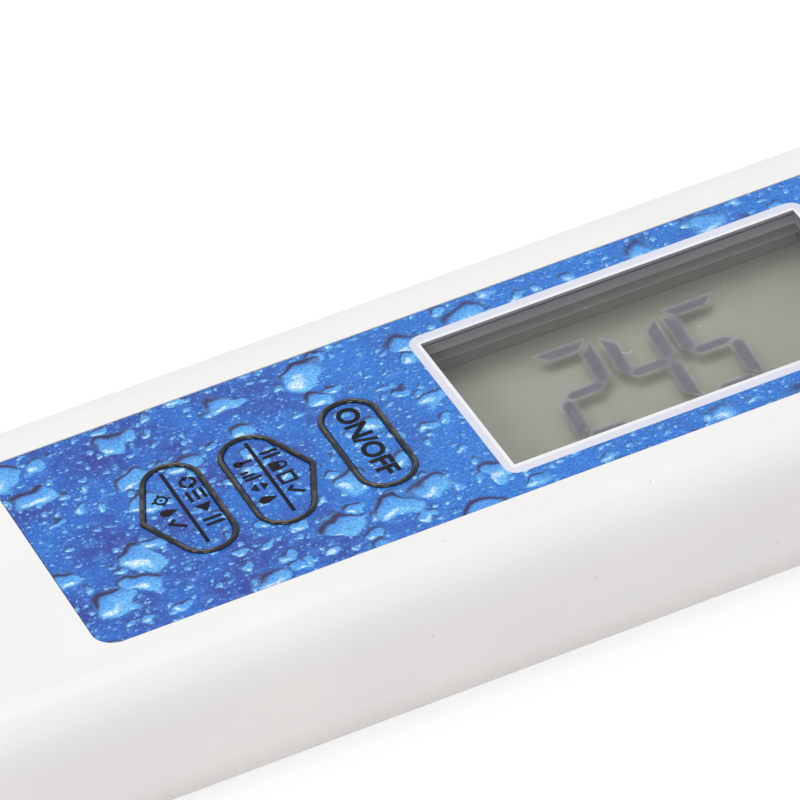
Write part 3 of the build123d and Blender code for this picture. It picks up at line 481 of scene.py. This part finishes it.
def window_border():
    """The printed frame round the window: a pale band, a raised line inside it printed whiter as a painted
    highlight, and a dark lip.
    """
    left, right, low, high = WINDOW
    # The raised line's whiter ink is partly a painted highlight along its edge
    pale, highlight_line, grey = range(3)
    # Each loop's reach out from the window, its corner radius and its height above the film, and what
    # covers the surface between it and the next
    profile = (
        (0.92, 1.25, 0, pale),
        (0.92, 1.25, PRINT, pale),
        (0.27, 0.4, PRINT, highlight_line),
        (0.20, 0.3, 0.045, highlight_line),
        (-0.02, 0.05, 0.045, grey),
        (-0.02, 0.05, -0.24, grey),
        (-0.005, 0.05, -0.24, grey),
        (-0.005, 0.05, 0, pale),
    )
    # The frame is broader along the window's two long sides
    near_share, far_share = 1.3, 1.35
    loops = []
    for reach, radius, rise, _ in profile:
        sides = (left - reach, right + reach, low - reach * near_share, high + reach * far_share)
        loops.append((box_outline(*sides, radius), FILM_TOP + rise))
    piece = make_piece("window_border", [skin(loops, ring=True)], pale_ink, "housing")
    piece.data.materials.append(white_highlight_ink)
    piece.data.materials.append(MATERIALS["bezel_grey"])
    count = len(loops[0][0])
    covers = [cover for *_, cover in profile for _ in range(count)]
    piece.data.polygons.foreach_set("material_index", covers)


window_border()


def word(name, text, middle, height, length, body):
    """Flat printed lettering that reads towards -Y, its top towards +X."""
    curve = bpy.data.curves.new(name, "FONT")
    curve.body = text
    # The strokes are made bolder, and get a thickness that is scaled to the printing's below
    curve.offset = 0.035
    curve.extrude = 0.01
    letters = bpy.data.objects.new(name, curve)
    bpy.context.scene.collection.objects.link(letters)
    bpy.context.view_layer.update()
    mesh = bpy.data.meshes.new_from_object(letters.evaluated_get(bpy.context.evaluated_depsgraph_get()))
    bpy.data.objects.remove(letters)
    spots = np.array([v.co for v in mesh.vertices])
    low, high = spots.min(0), spots.max(0)
    spots = (spots - (low + high) / 2) / (high - low)
    x = middle[0] + spots[:, 1] * height
    y = middle[1] - spots[:, 0] * length
    z = FILM_TOP + PRINT / 2 + spots[:, 2] * PRINT
    shape = list(zip(x, y, z)), [tuple(p.vertices) for p in mesh.polygons]
    make_piece(name, [shape], ink, body)


def on_key(outlines, middle, scale):
    """Outlines drawn with x to the right and y up, turned so that they read towards -Y."""
    return [[(middle[0] + y * scale, middle[1] - x * scale) for x, y in outline] for outline in outlines]


# Small signs for what a key does, each about two units high
LOCK = [
    rectangle(-0.8, 0.8, -1, 0.15),
    band([(-0.5, 0.15), *arc(0, 0.35, 0.5, 180, 0), (0.5, 0.15)], 0.3),
]
PAUSE = [rectangle(-0.65, -0.2, -1, 1), rectangle(0.2, 0.65, -1, 1)]
STOP = [
    band([(0, -0.8), (0.8, -0.8), (0.8, 0.8), (0, 0.8)], 0.4),
    band([(0, 0.8), (-0.8, 0.8), (-0.8, -0.8), (0, -0.8)], 0.4),
]
GAUGE = [arc(0, -0.5, 0.5, 0, 345, 23), rectangle(-0.2, 0.2, -0.2, 1)]
BARS = [rectangle(x - 0.2, x + 0.2, -0.9, top) for x, top in ((-0.62, -0.1), (0, 0.4), (0.62, 0.9))]
UP_DOWN = [[(-0.7, 0.2), (0.7, 0.2), (0, 1)], [(-0.7, -0.2), (0, -1), (0.7, -0.2)]]
TURN = [
    band(arc(0, 0, 0.75, 150, 10), 0.36),
    band(arc(0, 0, 0.75, -30, -170), 0.36),
    [(1.2, 0.25), (0.3, 0.25), (0.75, -0.45)],
    [(-1.2, -0.25), (-0.3, -0.25), (-0.75, 0.45)],
]
LIST = [rectangle(-0.9, 0.9, y - 0.19, y + 0.19) for y in (-0.75, 0, 0.75)]
NEXT = [[(-0.7, -0.9), (0.7, 0), (-0.7, 0.9)]]
AIM = [
    band(arc(0, 0, 0.6, 0, 180), 0.3),
    band(arc(0, 0, 0.6, 180, 360), 0.3),
    *(rectangle(x - 0.15, x + 0.15, -0.15, 0.15) for x in (-0.9, 0, 0.9)),
    *(rectangle(-0.15, 0.15, y - 0.15, y + 0.15) for y in (-0.9, 0.9)),
]
TICK = [band([(-0.85, 0), (-0.3, -0.65), (0.85, 0.75)], 0.42)]
DROP = [[(0, 1), *arc(0, -0.35, 0.62, 20, -200, 20)]]

# Where each shield-shaped key's dividing bar is, and then, for each of its rows, where that row is, how far
# apart its signs are, their scale and the signs from left to right
KEY_PRINTING = {
    "hold": (3.7, (
        (4.95, 1.9, 0.78, (PAUSE, LOCK, STOP, TICK)),
        (2.45, 1.9, 0.84, (GAUGE, BARS, UP_DOWN, DROP)),
    )),
    "mode": (-4.08, (
        (-2.55, 1.98, 0.84, (TURN, LIST, NEXT, PAUSE)),
        (-5.42, 1.85, 0.82, (AIM, DROP, TICK)),
    )),
}
BAR_HALF_WIDTH, BAR_ENDS, SIGN_Y = 0.17, (-5.7, 5.1), -0.2

word("power_lettering", "ON/OFF", (12.65, -0.25), 2.0, 10.4, "power_key")
for key, (bar, rows) in KEY_PRINTING.items():
    outlines = [rectangle(bar - BAR_HALF_WIDTH, bar + BAR_HALF_WIDTH, *BAR_ENDS)]
    for x, pitch, scale, signs in rows:
        for index, sign in enumerate(signs):
            y = SIGN_Y - pitch * (index - (len(signs) - 1) / 2)
            outlines += on_key(sign, (x, y), scale)
    printed(key + "_signs", outlines, key + "_key")

# The display's two plates are bonded, so they are one clear piece with a ledge along both sides. These are
# its heights, the small bevel of its edges, and the low and high x and y of its two parts
GLASS_BOTTOM, GLASS_LEDGE, GLASS_TOP = 10.35, 11.55, 13.05
BEVEL = 0.08
WIDE, NARROW = (19.9, 59.35, -13.18, 12.82), (19.9, 59.35, -10.78, 10.42)

# The digits shown, with the x of their middles, and the bars that each is made of
DIGITS = (("2", 32.6), ("4", 38.7), ("5", 44.6))
DIGIT_Y = -0.2
SEGMENTS = {"2": "abged", "4": "fgbc", "5": "afgcd"}
HALF_WIDTH, HALF_HEIGHT, HALF_STROKE, LEAN = 2.0, 6.1, 0.62, math.tan(math.radians(5))

# A bar is a stack of flat washes without thickness, each grown by this much, so that its edge is soft
WASHES = (-0.22, -0.08, 0.06, 0.2)
LOWEST_WASH, WASH_STEP = GLASS_LEDGE - 0.15, 0.04


def faint_ink():
    """A thin wash of liquid crystal: about a quarter of the light stops in each layer."""
    n = Nodes("segment_ink")
    cloud = n.noise(n.place(), 1.5, 2)
    clear = n.add("BsdfTransparent", {"Color": (1, 1, 1, 1)})
    layer = n.add("BsdfPrincipled", {
        "Base Color": n.mix(cloud, (0.41, 0.425, 0.515), (0.44, 0.455, 0.545)),
        "Roughness": n.step(cloud, 0.3, 0.7, 0.5, 0.65, smooth=False),
        "Normal": n.bump(n.noise(n.place(), 0.2, 3), 0.001),
    })
    return n.blend(n.step(cloud, 0.3, 0.7, 0.23, 0.29), clear, layer)


def segment(which):
    """One bar of a seven-segment digit, as an outline about the digit's middle."""
    w, h, s = HALF_WIDTH, HALF_HEIGHT, HALF_STROKE
    if which == "g":
        end = w - 0.1
        return [(-end, 0), (s - end, s), (end - s, s), (end, 0), (end - s, -s), (s - end, -s)]
    if which in "ad":
        way = 1 if which == "a" else -1
        outer, inner = way * (h + s), way * (h - s)
        return [(-w - 0.35, outer), (w + 0.35, outer), (w - s, inner), (s - w, inner)]
    x, out = (w, 1) if which in "bc" else (-w, -1)
    up = 1 if which in "bf" else -1
    outer, inner = x + out * s, x - out * s
    bar = [(x, 0.25), (outer, 0.85), (outer, h - 0.1), (inner, h - s - 0.7), (inner, 0.85)]
    return [(x, up * y) for x, y in bar]


def grown(outline, by):
    """A counterclockwise convex outline with each side moved out by that much."""
    moved = []
    for i, spot in enumerate(outline):
        before, after = Vector(outline[i - 1]), Vector(outline[(i + 1) % len(outline)])
        into, out = (Vector(spot) - before).normalized(), (after - Vector(spot)).normalized()
        sides = Vector((into.y, -into.x)), Vector((out.y, -out.x))
        shift = (sides[0] + sides[1]) * by / max(1 + sides[0].dot(sides[1]), 0.5)
        moved.append((spot[0] + shift.x, spot[1] + shift.y))
    return moved


washes = []
for digit, middle in DIGITS:
    for which in SEGMENTS[digit]:
        bar = counterclockwise([(middle + x + y * LEAN, y + DIGIT_Y) for x, y in segment(which)])
        for index, growth in enumerate(WASHES):
            z = LOWEST_WASH + WASH_STEP * index
            points = [(x, y, z) for x, y in grown(bar, growth)]
            washes.append((points, [tuple(range(len(points)))]))
make_piece("display_digits", washes, faint_ink(), "housing")


def edge_mask():
    """The mask printed along the display's long edges. The far one is painted lighter, as painted light
    where it lies in the frame's shade.
    """
    n = Nodes("edge_mask")
    place = n.place()
    # Painted light: the mask turns lighter towards the far side, where the frame shades it
    colour = n.mix(n.step(n.part(place, 1), 10.4, 12.4), (0.52, 0.54, 0.485), (0.66, 0.65, 0.70))
    colour = n.mix(n.step(n.noise(place, 5.0, 3), 0.3, 0.7, 0, 0.25), colour, (0.5, 0.505, 0.49))
    return n.solid({
        "Base Color": colour,
        "Roughness": n.step(n.noise(place, 0.3, 3), 0.3, 0.7, 0.55, 0.7),
        "Normal": n.bump(n.noise(place, 0.2, 3), 0.001),
    })


def plate_outline(sides, shrink):
    low_x, high_x, low_y, high_y = sides
    return box_outline(low_x + shrink, high_x - shrink, low_y + shrink, high_y - shrink, 0.1, 2)


stack = [
    (plate_outline(NARROW, BEVEL), GLASS_BOTTOM),
    (plate_outline(NARROW, 0), GLASS_BOTTOM + BEVEL),
    (plate_outline(NARROW, 0), GLASS_LEDGE),
    (plate_outline(WIDE, BEVEL), GLASS_LEDGE),
    (plate_outline(WIDE, 0), GLASS_LEDGE + BEVEL),
    (plate_outline(WIDE, 0), GLASS_TOP - BEVEL),
    (plate_outline(WIDE, BEVEL), GLASS_TOP),
]
display = make_piece("display_plates", [skin(stack)], MATERIALS["display_glass"], "housing")
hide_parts("lcd_front_glass", "lcd_rear_glass")

# The masks, given by their low and high y, and the second backing sheet lie just inside the plates
MASKS = (("far", 10.3, 12.74), ("near", -13.1, -10.66))
mask_material = edge_mask()
for name, low, high in MASKS:
    outline = box_outline(WIDE[0] + BEVEL, WIDE[1] - BEVEL, low, high, 0.1, 2)
    mask = slab(outline, GLASS_LEDGE + 0.02, GLASS_LEDGE + 0.06)
    make_piece(name + "_edge_mask", [mask], mask_material, "housing")
sheet = slab(plate_outline(NARROW, 0.12), GLASS_BOTTOM + 0.02, GLASS_BOTTOM + 0.07)
make_piece("backing_sheet", [sheet], MATERIALS["reflector"], "housing")

# A little dust that has settled on the display's front: flakes, given by x, y and radius, and a fibre
FLAKES = ((36.8, 8.4, 0.09), (44.0, 0.7, 0.09), (48.3, 4.9, 0.06), (29.6, -4.4, 0.05), (53.1, 1.2, 0.06))
dust = [arc(x, y, radius, 0, 300, 5) for x, y, radius in FLAKES]
dust.append(band(arc(37.3, 1.2, 0.6, 200, 300, 8), 0.07))
dust = [slab(outline, GLASS_TOP + 0.005, GLASS_TOP + 0.025) for outline in dust]
make_piece("display_dust", dust, pale_ink, "housing")


def floor_material():
    """A pale floor that shows as white and keeps the object's shadow."""
    n = Nodes("floor")
    rays = n.add("LightPath").outputs
    seen = n.math("MAXIMUM", rays["Is Camera Ray"], rays["Is Glossy Ray"])
    seen = n.math("MAXIMUM", seen, rays["Is Transmission Ray"])
    speck = n.mix(n.noise(n.place(), 2.0, 2), (0.25, 0.25, 0.25), (0.27, 0.27, 0.27))
    paper = n.add("BsdfDiffuse", {"Color": n.mix(seen, (0.74, 0.705, 0.68), speck)})
    glow = n.add("Emission", {"Color": (1, 1, 1, 1), "Strength": n.math("MULTIPLY", seen, 0.79)})
    return n.finish(n.add("AddShader", {0: paper.outputs[0], 1: glow.outputs[0]}))


def studio_world():
    """A white surround, which lights the object a little below full strength and a little warm."""
    n = Nodes("studio", world=True)
    shown = n.add("Background", {"Color": (1, 1, 1, 1)})
    light = n.add("Background", {"Color": (1, 0.995, 0.985, 1), "Strength": 0.72})
    return n.blend(n.add("LightPath").outputs["Is Camera Ray"], light, shown)


def softbox(name, place, width, height, power):
    """A rectangular soft lamp that points at the origin, in metres and watts."""
    lamp = bpy.data.lights.new(name, "AREA")
    lamp.shape = "RECTANGLE"
    lamp.size, lamp.size_y, lamp.energy = width, height, power
    box = bpy.data.objects.new(name, lamp)
    turn = (-Vector(place)).to_track_quat("-Z", "Y")
    box.matrix_world = Matrix.Translation(place) @ turn.to_matrix().to_4x4()
    bpy.context.scene.collection.objects.link(box)


# The floor reaches this far each way, in metres, and lies this much below the object
FLOOR_REACH, FLOOR_DROP = 4, 0.0001

floor_mesh = bpy.data.meshes.new("floor")
floor_corners = rectangle(-FLOOR_REACH, FLOOR_REACH, -FLOOR_REACH, FLOOR_REACH)
floor_mesh.from_pydata([(x, y, -FLOOR_DROP) for x, y in floor_corners], [], [(0, 1, 2, 3)])
floor_mesh.materials.append(floor_material())
floor = bpy.data.objects.new("floor", floor_mesh)
bpy.context.scene.collection.objects.link(floor)

scene = bpy.context.scene
scene.view_settings.view_transform = "Standard"
scene.world = studio_world()
softbox("top_box", (-0.1, 0.35, 1.0), 0.6, 0.6, 3.2)
softbox("left_box", (-0.8, -0.2, 0.7), 0.25, 0.25, 1.2)
softbox("front_box", (-0.5, -0.9, 0.55), 0.34, 0.2, 1.9)

# The photograph's camera, worked out from the film's edges and the window's corners: its place in metres,
# and its own right, up and back as the columns of its turn
CAMERA_PLACE = (-0.14348, -0.48552, 0.39777)
CAMERA_TURN = (
    (0.910205, 0.329784, -0.250537),
    (-0.395544, 0.512883, -0.761903),
    (-0.122767, 0.792586, 0.597273),
)

camera = bpy.data.cameras.new("camera")
camera.lens, camera.sensor_width = 341.9, 36
camera.clip_start, camera.clip_end = 0.01, 20
viewer = bpy.data.objects.new("camera", camera)
viewer.matrix_world = Matrix.Translation(CAMERA_PLACE) @ Matrix(CAMERA_TURN).to_4x4()
scene.collection.objects.link(viewer)
scene.camera = viewer
